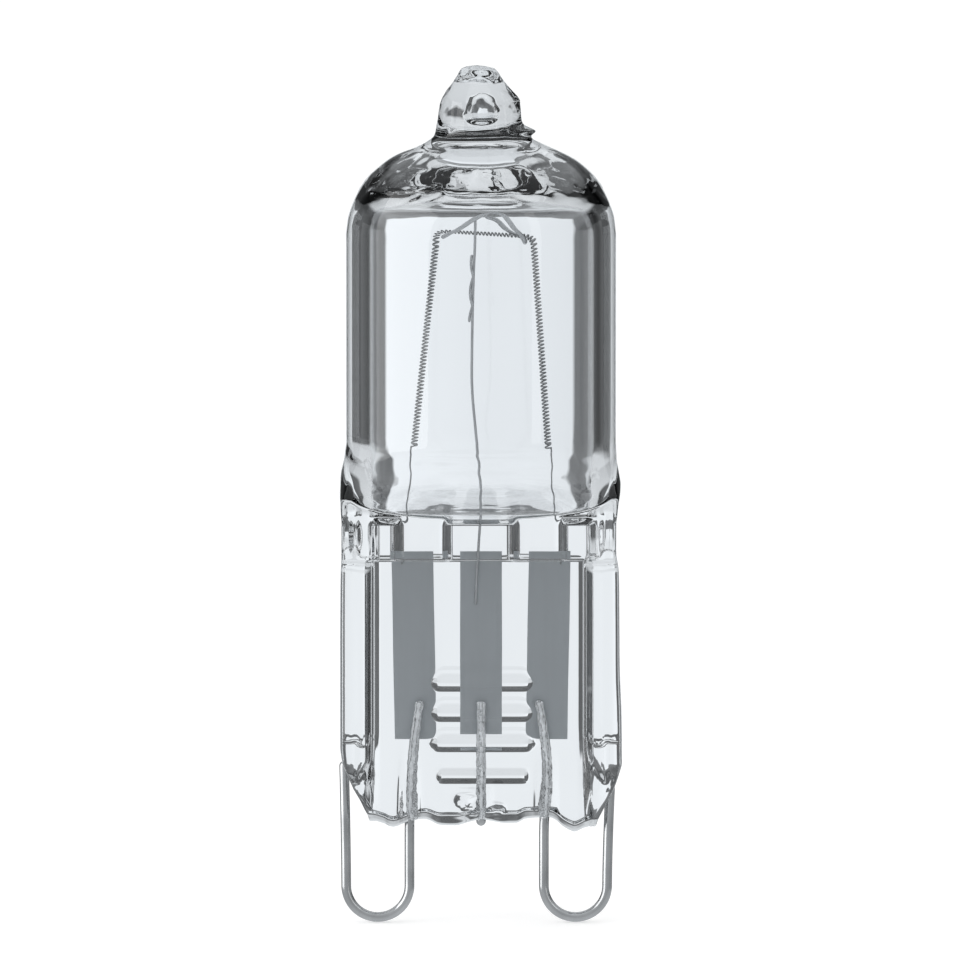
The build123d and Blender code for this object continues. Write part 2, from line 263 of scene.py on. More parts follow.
# Half depth of the shoulder, by height
SHOULDER_DEPTH = curve([
    (18.3, 1.6), (18.7, 2.15), (18.95, 2.75), (19.3, 3.5), (19.95, 4.6), (20.6, 5.4), (21.2, 5.9),
    (21.9, TUBE_R),
])
# Height of the foot's wavy edge, by place across
FOOT_EDGE = curve([
    (-6.4, 4.75), (-5.17, 4.7), (-4.44, 4.52), (-4.03, 4.35), (-3.25, 4.62), (-2.56, 4.72),
    (-1.83, 4.44), (-1.14, 4.42), (-0.69, 4.54), (0.05, 4.7), (0.5, 4.62), (1.1, 4.53),
    (1.6, 4.54), (2.01, 4.73), (3.11, 4.8), (3.84, 4.32), (4.25, 4.14), (4.71, 4.32),
    (5.35, 4.46), (6.4, 4.5),
])
# Half width and half depth of the sealed hollow, by height. It ends flat at HOLLOW_HIGH, and the two
# stops past that only steer the curve
HOLLOW = curve([
    (18.7, 0.9, 0.03), (18.78, 3.2, 0.45), (18.92, 4.3, 0.85), (19.15, 4.75, 1.4), (19.5, 4.98, 2.2),
    (19.95, 5.08, 3.15), (20.6, HOLLOW_R, 4.25), (21.2, HOLLOW_R, 4.84), (21.9, HOLLOW_R, HOLLOW_R),
    (31.5, HOLLOW_R, HOLLOW_R), (32.02, 5.02, 5.02), (32.47, 4.82, 4.82), (32.92, 4.4, 4.4),
    (33.27, 3.8, 3.8), (33.52, 3.1, 3.1), (33.72, 2.5, 2.5), (33.92, 2.15, 2.15),
    (34.25, 1.98, 1.98), (34.7, 1.88, 1.88), (35.0, 1.7, 1.7), (35.2, 1.3, 1.3),
])
# The hollow's floor rises at the sides and sags in the middle. The arch over it: middle, radii
FLOOR_RISE = 0.3
FLOOR_SAG = 0.2
ARCH = ((-0.05, 20.15), (3.87, 0.55))
# Radius of the tip's bubble, by height
BUBBLE = curve([
    (36.2, 0.04), (36.25, 0.26), (36.38, 0.44), (36.6, 0.55), (36.85, 0.58), (37.1, 0.52),
    (37.3, 0.38), (37.42, 0.2), (37.47, 0.03),
])
# The camera looks down a little, so marks on the front face stand this much higher than they look
LIFT = 0.15
DOME_LIFT = 0.3

# Where the rails' inner walls start and end, each for the left and the right one, and the share of
# a wall's rise that the back face takes in a first step
WALLS = ((4.92, 4.72), (5.26, 5.06))
BACK_STEP = 0.21
# The facets at the rails' feet: their wavy upper edge, their lean, and the pointed step in them
FACET_MIDDLE = 5.75
FACET_WAVE = 0.13
FACET_LEAN = 0.16
FACET_EDGE = 0.08
POINT = (5.62, 6.52)
POINT_DEPTH = 0.2
# The scoop at the rails' tops: middle, radii, depth
SCOOP = ((5.36, 16.26), (0.72, 0.2), 0.09)

# Cross ribs: their ends, how fast they narrow, and their section on each face, which is a share of
# the height, where it starts, is full, stops being full and ends, and how soft the first slope is
RIB_ENDS = (-2.2, 2.33)
RIB_TAPER = 0.45
RIB_SECTIONS = {
    "front": (1, -0.44, -0.2, -0.1, 0.44, 0.12),
    "back": (0.4, -0.9, 0.2, 0.3, 0.62, 0.3),
}
BAR_DEPTH = 0.3

# Fine lines down the rails: place, top and end. Glass drawn down along the leads: place and top
RAIL_LINES = ((-5.82, 13.8, 9.15), (5.33, 16.2, 9.0), (5.97, 13.8, 9.35))
LEADS = ((-3.3, 7.6), (0.02, 6.2), (2.95, 7.6))
# Beads near the foot: middle, radius. Dimples at the neck's sides: middle, radii, depth
BEADS = (((-0.85, 5.5), 0.3), ((-0.62, 5.25), 0.2), ((-0.45, 5.62), 0.16), ((0.75, 5.1), 0.22))
BEAD_HEIGHT = 0.16
DIMPLES = (((-5.72, 17.62), (0.3, 0.95), 0.4), ((5.68, 17.6), (0.36, 1.0), 0.22))
# Windows of the neck: where a side wall starts, where the flat starts and ends, the other wall's end,
# and the heights where all three run out
WINDOWS = ((-5.05, -4.67, -3.93, -3.52), (-1.71, -1.46, 1.37, 1.72), (3.56, 3.82, 4.85, 5.26))
WINDOW_TOP = (18.1, 18.47)

# The foot: width of the bevels, how far they cut in, and the radius of the edge under them
BEVEL_WIDTH = 0.42
BEVEL_DEPTH = 0.5
FOOT_RADIUS = 0.16

# Ridges and dents on the dome: start, end, height, width
DOME_MARKS = (
    ((-4.9, 33.15), (-3.3, 33.3), 0.05, 0.09), ((-3.3, 33.3), (-1.8, 33.5), 0.05, 0.07),
    ((-2.3, 35.35), (-5.0, 33.1), 0.05, 0.12), ((-2.0, 34.9), (-4.2, 33.4), 0.05, 0.1),
    ((-2.7, 35.45), (-5.4, 33.6), 0.03, 0.09), ((1.1, 35.2), (2.6, 34.4), 0.06, 0.22),
    ((1.5, 34.6), (2.4, 34.1), -0.05, 0.16), ((4.3, 33.4), (4.6, 33.2), 0.06, 0.09),
    ((0.1, 34.4), (0.35, 33.9), 0.04, 0.07), ((-3.4, 34.9), (-5.7, 32.4), 0.02, 0.16),
    ((3.3, 34.9), (5.6, 32.6), 0.03, 0.2), ((2.2, 35.3), (3.6, 34.6), 0.04, 0.12),
)
# The lobe on the tip's flange, and the folds up the tip
LOBE_OUT = 0.48
FOLD_DEPTH = 0.07
FOLD_LINE = 0.06
FOLD_SIDE = 0.72


def ridge(x, z, start, end, width):
    """A soft ridge of height 1 along a straight line on the face."""
    run = np.array(end, float) - np.array(start, float)
    share = ((x - start[0]) * run[0] + (z - start[1]) * run[1]) / (run @ run)
    share = np.clip(share, 0, 1)
    away = (x - start[0] - share * run[0]) ** 2 + (z - start[1] - share * run[1]) ** 2
    return np.exp(-away / width**2)


def oval(x, z, middle, radii):
    """Below 1 inside an oval, 1 on its edge."""
    return np.sqrt(((x - middle[0]) / radii[0]) ** 2 + ((z - middle[1]) / radii[1]) ** 2)


def rail_share(x, side):
    """0 on the web, 1 on a rail, and between them on the wall of a rail."""
    away = np.abs(x)
    start, end = WALLS
    inner = np.where(x < 0, start[0], start[1])
    outer = np.where(x < 0, end[0], end[1])
    if side == "front":
        return ramp(away, inner, outer, 0.07)
    step = BACK_STEP * ramp(away, inner - 0.3, inner, 0.07)
    return step + (1 - BACK_STEP) * ramp(away, inner + 0.05, outer, 0.07)


def rail_face(away, z, sizes):
    """A rail's face, with its slanted facet at the foot and its scoop at the top."""
    facet = FACET_TOP + FACET_WAVE * np.cos((away - FACET_MIDDLE) * 7.5)
    facet = facet - 0.25 * np.maximum(away - 5.95, 0)
    point = POINT[1] + 1.9 * np.abs(away - POINT[0])
    rail = sizes.rail - FACET_LEAN * np.maximum(facet - z, 0)
    rail = rail - POINT_DEPTH * fall(z, point - 0.25, point + 0.12, 0.3)
    rail = rail - FACET_EDGE * fall(z, facet - 0.09, facet, 0.3)
    middle, radii, depth = SCOOP
    rail = rail - depth * fall(oval(away, z, middle, radii), 0.85, 1.1, 0.3)
    return rail - 0.2 * ramp(z, 16.4, 16.52, 0.2)


def with_ribs(low, x, z, sizes, side):
    """Adds the cross ribs, steep below and soft above in front, and the other way at the back."""
    share, start, full, still_full, end, soft = RIB_SECTIONS[side]
    for height in RIB_HEIGHTS:
        taper = RIB_TAPER * np.abs(z - height + 0.05)
        left, right = RIB_ENDS[0] + taper, RIB_ENDS[1] - taper
        across = ramp(x, left - 0.1, left + 0.2, 0.2) * fall(x, right - 0.2, right + 0.1, 0.2)
        up = ramp(z, height + start, height + full, soft)
        up = up * fall(z, height + still_full, height + end, 0.12)
        low = low + share * sizes.rib * across * up
    return low


def with_bar(low, x, z):
    """Adds the bar across the web and the fine line under it."""
    across = ramp(x, -1.98, -1.88, 0.2) * fall(x, 2.02, 2.12, 0.2)
    low = low + BAR_DEPTH * across * ramp(z, 6.28, 6.6, 0.05) * fall(z, 6.7, 6.98, 0.3)
    return low + 0.02 * across * hump(z, 6.04, 0.07)


def with_fine_marks(low, x, z):
    """Adds fine lines down the rails, glass drawn down along the leads, and beads at the foot."""
    for line, top, end in RAIL_LINES:
        low = low + 0.02 * ridge(x, z, (line, top), (line, end), 0.05)
    for lead, reach in LEADS:
        drawn = fall(z, 4.7, reach, 0.3)
        low = low + drawn * (0.22 * hump(x, lead - 0.2, 0.16) + 0.18 * hump(x, lead + 0.24, 0.13))
    for middle, radius in BEADS:
        low = low + BEAD_HEIGHT * fall(oval(x, z, middle, (radius, radius)), 0.5, 1.0, 0.3)
    return low


def neck_depth(x, z, sizes):
    """Half the neck's thickness, with its windows and the dimples at its sides."""
    windows = np.zeros_like(x)
    for start, flat, flat_end, end in WINDOWS:
        windows = windows + ramp(x, start, flat, 0.08) * fall(x, flat_end, end, 0.08)
    windows = windows * fall(z, *WINDOW_TOP, 0.1)
    neck = sizes.neck - sizes.window * windows
    for middle, radii, deep in DIMPLES:
        neck = neck - deep * fall(oval(x, z, middle, radii), 0.25, 1.0, 0.3)
    return neck - 0.8 * ramp(z, NECK_TOP + 0.2, NECK_TOP + 1.0, 0.3)


def pinch_depth(x, z, sizes, side):
    """How far the glass stands out of the middle plane in the pinch and the neck."""
    above = np.maximum(z - FOOT_EDGE(x)[0], 0)
    z = z - LIFT
    web = sizes.web
    rail = rail_face(np.abs(x), z, sizes)
    low = web + (np.maximum(rail, web) - web) * rail_share(x, side)
    low = with_ribs(low, x, z, sizes, side)
    if side == "front":
        low = with_bar(low, x, z)
    low = with_fine_marks(low, x, z)
    ledge = ramp(z, PINCH_TOP - 0.06, PINCH_TOP + 0.08, 0.12)
    depth = low + (neck_depth(x, z, sizes) - low) * ledge
    # The foot: a bevel on each face over a rounded edge
    wide = BEVEL_WIDTH + 0.14 * hump(x, -1.4, 0.8) + 0.1 * hump(x, 1.3, 0.9)
    bevel = BEVEL_DEPTH * fall(above, 0.06, wide, 0.12)
    near = np.clip(above / FOOT_RADIUS, 0, 1)
    return (depth - bevel) * np.sqrt(near * (2 - near)) + 0.02


def body_depth(x, z, sizes, side):
    """The same for the pinch, the neck and the shoulder together."""
    left, right = BODY_EDGES(z)
    middle, half = (left + right) / 2, (right - left) / 2
    shoulder = SHOULDER_DEPTH(z)[0]
    inside = np.clip(1 - ((x - middle) / half) ** 2, 0, 1)
    bulb = shoulder * np.sqrt(inside) * ramp(z, 18.2, 18.6, 0.2) + 0.02
    low = pinch_depth(x, z, sizes, side)
    return np.where(z > NECK_TOP + 1.2, bulb, blend_max(low, bulb, 0.18))


def side_profile(count):
    """The turn from the front face to the back one, as the tube's arc and as a rail's edge."""
    s = np.linspace(-1, 1, count + 2)[1:-1]
    lean = np.arccos(FIXED_X / TUBE_R)
    bulge = (np.cos(s * lean) - np.cos(lean)) / (1 - np.cos(lean))
    arc = np.stack([bulge, np.sin(s * lean) / np.sin(lean)])
    corner = np.abs(s)
    out = fall(corner, 0.62, 1.0, 0.2)
    # Next to a face the turn keeps its full depth for this share of the way
    level = 0.12
    down = 1 - np.clip(1 - corner - level, 0, 1) / (1 - level)
    rail = np.stack([np.sqrt(out * (2 - out)), np.sign(s) * down])
    return arc, rail


def face_columns(sizes):
    """Places of the columns across a face, closer together at the walls of rails and windows."""
    dense = [(x, 0.16, 2.2) for x in (-5.24, -4.62, 4.5, 5.05)]
    dense += [(x, 0.15, 1.6) for x in (-4.8, -3.72, -1.6, 1.57, 3.72, 4.9, -2.1, 2.2)]
    dense += [(-5.6, 0.25, 1.0), (5.6, 0.25, 1.0)]
    return spread(-FIXED_X, FIXED_X, sizes.columns, dense)


def pressed_row(z0, face, arc, rail, sizes):
    """A ring of points round the pinch, neck or shoulder: front, right side, back and left side."""
    left, right = BODY_EDGES(z0)
    room = FIXED_X - SQUEEZE_X
    pull_left = min(1.0, (-left - SIDE_TURN - SQUEEZE_X) / room)
    pull_right = min(1.0, (right - SIDE_TURN - SQUEEZE_X) / room)
    over = np.maximum(np.abs(face) - SQUEEZE_X, 0)
    squeeze = np.where(face < 0, pull_left, pull_right)
    x = np.sign(face) * (np.minimum(np.abs(face), SQUEEZE_X) + over * squeeze)
    # The lowest rows follow the wavy foot and settle to level ones
    low = FOOT_EDGE(x)[0]
    settle = np.clip((z0 - ROWS_LOW) / (ROWS_LEVEL - ROWS_LOW), 0, 1)
    z = np.where(z0 < ROWS_LEVEL, low + (ROWS_LEVEL - low) * settle, z0)
    front = body_depth(x, z, sizes, "front")
    back = body_depth(x, z, sizes, "back")
    round_edge = ramp(z0, 18.6, 20.2, 0.3)
    turn = arc * round_edge + rail * (1 - round_edge)
    right_x = x[-1] + (right - x[-1]) * turn[0]
    right_y = np.where(turn[1] < 0, front[-1], back[-1]) * turn[1]
    left_x = x[0] + (left - x[0]) * turn[0][::-1]
    left_y = -np.where(turn[1] < 0, back[0], front[0]) * turn[1]
    return np.concatenate([
        np.stack([x, -front, z], 1),
        np.stack([right_x, right_y, np.full_like(right_x, z[-1])], 1),
        np.stack([x, back, z], 1)[::-1],
        np.stack([left_x, left_y, np.full_like(left_x, z[0])], 1),
    ])


def outer_shell(sizes, face):
    """Points of the capsule's outside, as rows of columns from the foot to the tip."""
    arc, rail = side_profile(18)
    tall = TUBE_LOW - ROWS_LOW
    # Rows lie closer together here: height, width, strength
    dense = [(4.7, 0.35, 2.5), (BAR_HEIGHT, 0.25, 2.5), (FACET_TOP, 0.2, 1.5), (7.3, 0.3, 0.6)]
    dense += [(height, 0.5, 2.2) for height in RIB_HEIGHTS]
    dense += [(PINCH_TOP, 0.2, 2.0), (PINCH_TOP + 0.05, 0.12, 3.0), (18.3, 0.25, 3.0), (19.0, 0.5, 2.0)]
    levels = spread(0, 1, sizes.rows, [((z - ROWS_LOW) / tall, w / tall, k) for z, w, k in dense])
    rows = [pressed_row(ROWS_LOW + t * tall, face, arc, rail, sizes) for t in levels]
    # Tube, dome and tip are round, on the same columns
    ring = rows[-1] / TUBE_R
    dense = [(33.6, 1.4, 3.0), (35.6, 0.6, 5.0), (36.9, 1.2, 4.0), (38.8, 0.4, 4.0)]
    for z in spread(TUBE_LOW, TIP_RING, 106, dense)[1:]:
        left, right = (-TUBE_R, TUBE_R) if z < TUBE_HIGH else TIP_EDGES(z)
        row = ring * ((right - left) / 2)
        row[:, 0] += (left + right) / 2
        row[:, 2] = z
        rows.append(row)
    return np.array(rows)


def uneven(points, sizes):
    """Adds the waviness of pressed and melted glass, the dome's marks, the lobe and the folds."""
    x, y, z = points[..., 0], points[..., 1], points[..., 2]
    amount = sizes.ripple * (0.35 + 0.9 * hump(z, 18.9, 1.4) + 0.5 * hump(z, 5.0, 1.2))
    # The tube was drawn and not pressed, so it stays smooth
    amount = np.where((z > 22.3) & (z < 31.5), 0, amount)
    melted = 0.03 * ramp(z, 36.4, 37.6, 0.3) + 0.003 * hump(z, 34.4, 1.4)
    soft = fractal(points, 1.6, 2)
    rough = fractal(points, 0.8, 5)
    marks = np.zeros_like(z)
    for start, end, high, width in DOME_MARKS:
        marks = marks + high * ridge(x, z - DOME_LIFT, start, end, width)
    # The back has the same marks at half their height
    marks = np.where(y < 0, marks, 0.5 * marks[..., ::-1])
    turn = np.arctan2(y, x)
    lobe = LOBE_OUT * hump(z, 36.08, 0.2) * hump(turn, -0.1, 0.5)
    folds = FOLD_DEPTH * ramp(z, 36.6, 37.8, 0.3) * np.cos(3 * turn + 1.2 * z)
    sides = hump(turn, -pi / 2 - FOLD_SIDE, 0.1) + hump(turn, -pi / 2 + FOLD_SIDE, 0.1)
    folds = folds + FOLD_LINE * sides * ramp(z, 35.9, 36.2, 0.3) * fall(z, 37.2, 37.7, 0.3)
    out = points * np.array([1, 1, 0])
    out /= np.maximum(np.linalg.norm(out, axis=-1, keepdims=True), 1e-6)
    return points + out * (amount * soft + melted * rough + lobe + folds + marks)[..., None]


def lathe(heights, shape, sides):
    """Rings of points: shape gives the half width, and the half depth if that differs, by height."""
    turn = np.linspace(0, 2 * pi, sides, endpoint=False)
    rows = []
    for z in heights:
        half = shape(z)
        rows.append(np.stack([half[0] * np.sin(turn), -half[-1] * np.cos(turn), np.full(sides, z)], 1))
    return np.array(rows)


def hollow_rings(heights, sides):
    """Rings of the sealed hollow: uneven floor, rough ring under the tip, marks on the back wall."""
    ring = lathe(heights, HOLLOW, sides)
    turn = np.linspace(0, 2 * pi, sides, endpoint=False)
    for row, z in zip(ring, heights):
        wide = HOLLOW(z)[0]
        hang = FLOOR_RISE * np.sin(turn) ** 2 * (wide / HOLLOW_R) ** 2 - FLOOR_SAG
        row[:, 2] = z + hang * fall(z, 18.7, 19.9, 0.3)
    x, high = ring[..., 0], ring[..., 2]
    rough = ramp(high, 33.0, 33.2) * fall(high, 33.7, 33.95)
    ring[..., 2] += 0.03 * rough * fractal(ring * (0.5, 0.5, 2.2), 0.35, 9)
    at_back = ring[..., 1] > 0
    # A fine arch on the back wall, and two swells under it
    ring[..., 1] += np.where(at_back, 0.05, 0) * hump(oval(x, high, *ARCH), 1.0, 0.06)
    swells = hump(np.abs(x + 0.05), 1.8, 0.55) * hump(high, 19.75, 0.4)
    ring[..., 1] -= np.where(at_back, 0.16, 0) * swells
    return ring


def ring_faces(rows, columns, start=0, inward=False):
    """Quads of a stack of rings, facing outwards or inwards."""
    faces = []
    for i in range(rows - 1):
        for j in range(columns):
            k = (j + 1) % columns
            quad = [i * columns + j, i * columns + k, (i + 1) * columns + k, (i + 1) * columns + j]
            quad = [start + corner for corner in quad]
            faces.append(quad[::-1] if inward else quad)
    return faces


def foot_faces(count, columns):
    """Faces under the foot, where the front and the back columns meet along the wavy edge."""
    side = (columns - 2 * count) // 2
    back = list(range(count + side, 2 * count + side))[::-1]
    faces = [[j + 1, j, back[j], back[j + 1]] for j in range(count - 1)]
    right_ring = [count - 1, *range(count, count + side), back[-1]]
    left_ring = [back[0], *range(2 * count + side, columns), 0]
    for ring in (right_ring, left_ring):
        faces += [[ring[0], ring[k + 1], ring[k]] for k in range(1, len(ring) - 1)]
    return faces


def fan(ring, middle, inward=False):
    """Triangles from a ring to its middle point."""
    faces = []
    for a, b in zip(ring, ring[1:] + ring[:1]):
        faces.append([b, a, middle] if inward else [a, b, middle])
    return faces


def add_piece(name, points, faces, nodes, material, smooth=True):
    """Makes a mesh in metres that rides on the root body and stands for its nodes."""
    mesh = bpy.data.meshes.new(name)
    mesh.from_pydata((np.asarray(points) * MM).tolist(), [], faces)
    mesh.validate()
    mesh.polygons.foreach_set("use_smooth", [smooth] * len(mesh.polygons))
    mesh.materials.append(material)
    mesh.update()
    piece = bpy.data.objects.new(name, mesh)
    bpy.context.scene.collection.objects.link(piece)
    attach(piece, "root")
    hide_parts(*nodes)
    return piece


# Wires

def rounded_path(points, radius, steps=8):
    """Points along a broken line whose corners are rounded off by curves."""
    points = [np.array(p, float) for p in points]
    path = [points[0]]
    for before, corner, after in zip(points, points[1:], points[2:]):
        back, on = before - corner, after - corner
        reach = min(radius, np.linalg.norm(back) / 2.05, np.linalg.norm(on) / 2.05)
        start = corner + back / np.linalg.norm(back) * reach
        end = corner + on / np.linalg.norm(on) * reach
        for t in np.linspace(0, 1, steps):
            path.append((1 - t) ** 2 * start + 2 * t * (1 - t) * corner + t**2 * end)
    path.append(points[-1])
    return np.array(path)


def finer(path, step):
    """The same path with points at least every step."""
    length = np.concatenate([[0], np.cumsum(np.linalg.norm(np.diff(path, axis=0), axis=1))])
    place = np.unique(np.concatenate([length, np.arange(0, length[-1], step)]))
    return np.stack([np.interp(place, length, path[:, k]) for k in range(3)], 1)


def smoothed(path, reach):
    """The path with each point averaged over reach points on either side."""
    count = 2 * reach + 1
    padded = np.pad(path, ((reach, reach), (0, 0)), mode="edge")
    return np.stack([np.convolve(part, np.full(count, 1 / count), "valid") for part in padded.T], 1)


def frames_along(path):
    """A side and an up direction at each point of a path, without twist."""
    ahead = np.gradient(path, axis=0)
    ahead /= np.linalg.norm(ahead, axis=1, keepdims=True)
    # The first side is square to a slanted direction that no wire sets out along
    side = np.cross(ahead[0], (0.1, 1.0, 0.2))
    side /= np.linalg.norm(side)
    sides = []
    for direction in ahead:
        side = side - direction * side.dot(direction)
        side /= np.linalg.norm(side)
        sides.append(side)
    sides = np.array(sides)
    return ahead, sides, np.cross(ahead, sides)


def tube(path, radius, sides):
    """Points and faces of a wire with rounded ends along a path."""
    path = np.asarray(path, float)
    ahead, side, up = frames_along(path)
    caps = [radians(a) for a in (80, 60, 40, 20)]
    rows = [(path[0] - ahead[0] * radius * sin(a), side[0], up[0], radius * cos(a)) for a in caps]
    rows += [(middle, s, u, radius) for middle, s, u in zip(path, side, up)]
    caps.reverse()
    rows += [(path[-1] + ahead[-1] * radius * sin(a), side[-1], up[-1], radius * cos(a)) for a in caps]
    turn = np.linspace(0, 2 * pi, sides, endpoint=False)
    points = [
        middle + r * (np.cos(a) * s + np.sin(a) * u) for middle, s, u, r in rows for a in turn
    ]
    last = len(points)
    points += [rows[0][0], rows[-1][0]]
    faces = ring_faces(len(rows), sides)
    faces += fan(list(range(sides)), last, inward=True)
    faces += fan(list(range(last - sides, last)), last + 1)
    return points, faces


def join(parts):
    """Points and faces of several closed shells as one mesh."""
    points, faces = [], []
    for some_points, some_faces in parts:
        shift = len(points)
        points += list(some_points)
        faces += [[corner + shift for corner in face] for face in some_faces]
    return points, faces


# Materials

def new_material(name):
    """A material with one Principled shader, and its node tree."""
    material = bpy.data.materials.new(name)
    material.use_nodes = True
    tree = material.node_tree
    return material, tree, tree.nodes["Principled BSDF"]


def grain(tree, scale, stretch=(1, 1, 1)):
    """Object-space noise, stretched along the axes."""
    place = tree.nodes.new("ShaderNodeTexCoord")
    mapping = tree.nodes.new("ShaderNodeMapping")
    mapping.inputs["Scale"].default_value = stretch
    texture = tree.nodes.new("ShaderNodeTexNoise")
    texture.inputs["Scale"].default_value = scale
    texture.inputs["Detail"].default_value = 3.0
    tree.links.new(place.outputs["Object"], mapping.inputs["Vector"])
    tree.links.new(mapping.outputs["Vector"], texture.inputs["Vector"])
    return texture.outputs["Fac"]


def tone_between(tree, factor, dark, light):
    """A colour that runs from dark to light with a factor."""
    stops = tree.nodes.new("ShaderNodeValToRGB")
    stops.color_ramp.elements[0].position = 0.3
    stops.color_ramp.elements[0].color = (*dark, 1)
    stops.color_ramp.elements[1].position = 0.7
    stops.color_ramp.elements[1].color = (*light, 1)
    tree.links.new(factor, stops.inputs["Fac"])
    return stops.outputs["Color"]


def number_between(tree, factor, low, high):
    """A number that runs from low to high with a factor."""
    spread_out = tree.nodes.new("ShaderNodeMapRange")
    spread_out.inputs["From Min"].default_value = 0.3
    spread_out.inputs["From Max"].default_value = 0.7
    spread_out.inputs["To Min"].default_value = low
    spread_out.inputs["To Max"].default_value = high
    tree.links.new(factor, spread_out.inputs["Value"])
    return spread_out.outputs["Result"]


def relief(tree, shader, factor, depth, strength=1.0):
    """Bump of a real depth in metres."""
    bump = tree.nodes.new("ShaderNodeBump")
    bump.inputs["Distance"].default_value = depth
    bump.inputs["Strength"].default_value = strength
    tree.links.new(factor, bump.inputs["Height"])
    tree.links.new(bump.outputs["Normal"], shader.inputs["Normal"])


def scaled(colour, factor):
    """A colour made lighter or darker by a factor."""
    return tuple(min(1.0, part * factor) for part in colour)


def quartz(colours):
    """Clear quartz with a faint tint that varies a little."""
    material, tree, shader = new_material("quartz")
    shader.inputs["Transmission Weight"].default_value = 1.0
    shader.inputs["IOR"].default_value = 1.46
    cloud = grain(tree, 90.0)
    tint = tone_between(tree, cloud, scaled(colours.glass, 0.985), tuple(colours.glass))
    tree.links.new(tint, shader.inputs["Base Color"])
    tree.links.new(number_between(tree, cloud, 0.0, 0.012), shader.inputs["Roughness"])
    return material


def wire_metal(name, colour, roughness, along=(1, 1, 0.08), depth=4e-6):
    """Drawn wire with fine streaks along its length."""
    material, tree, shader = new_material(name)
    shader.inputs["Metallic"].default_value = 1.0
    streaks = grain(tree, 9000.0, along)
    patches = grain(tree, 700.0)
    tone = tone_between(tree, patches, scaled(colour, 0.82), scaled(colour, 1.12))
    tree.links.new(tone, shader.inputs["Base Color"])
    tree.links.new(number_between(tree, streaks, roughness[0], roughness[1]), shader.inputs["Roughness"])
    relief(tree, shader, streaks, depth)
    return material


def foil_metal(colours):
    """Matt rolled foil with faint streaks down its length."""
    material, tree, shader = new_material("sealing_foil")
    shader.inputs["Metallic"].default_value = 0.4
    shader.inputs["Specular IOR Level"].default_value = 0.3
    rolled = grain(tree, 900.0, (1, 1, 0.12))
    tone = tone_between(tree, rolled, scaled(colours.foil, 0.93), scaled(colours.foil, 1.05))
    tree.links.new(tone, shader.inputs["Base Color"])
    tree.links.new(number_between(tree, rolled, 0.42, 0.6), shader.inputs["Roughness"])
    relief(tree, shader, rolled, 6e-6, 0.6)
    return material


class BULB_OT_capsule(Operator):
    """Makes the capsule of quartz glass with its sealed hollow"""

    bl_idname = "bulb.capsule"
    bl_label = "Glass capsule"

    def execute(self, context):
        sizes = context.scene.bulb_glass
        face = face_columns(sizes)
        rows = uneven(outer_shell(sizes, face), sizes)
        height, columns = rows.shape[:2]
        points = rows.reshape(-1, 3).tolist()
        faces = ring_faces(height, columns)
        faces += foot_faces(len(face), columns)
        top = len(points)
        points.append((-0.2, 0.0, TIP_TOP))
        faces += fan(list(range(top - columns, top)), top)
        dense = [(19.2, 0.6, 8.0), (20.6, 0.8, 3.0), (33.2, 1.2, 5.0), (34.6, 0.3, 9.0)]
        hollow = hollow_rings(spread(HOLLOW_LOW, HOLLOW_HIGH, 92, dense), 112)
        bubble = lathe(np.linspace(BUBBLE_LOW, BUBBLE_HIGH, 26), BUBBLE, 40)
        for rings, low, high in (
            (hollow, HOLLOW_LOW, HOLLOW_HIGH), (bubble, BUBBLE_LOW, BUBBLE_HIGH),
        ):
            sides = rings.shape[1]
            start = len(points)
            points += rings.reshape(-1, 3).tolist()
            faces += ring_faces(len(rings), sides, start, inward=True)
            ends = len(points)
            points += [(0, 0, low), (0, 0, high)]
            faces += fan(list(range(start, start + sides)), ends)
            faces += fan(list(range(ends - sides, ends)), ends + 1, inward=True)
        clear = quartz(context.scene.bulb_finish)
        add_piece("glass", points, faces, ["glass_capsule"], clear)
        return {"FINISHED"}


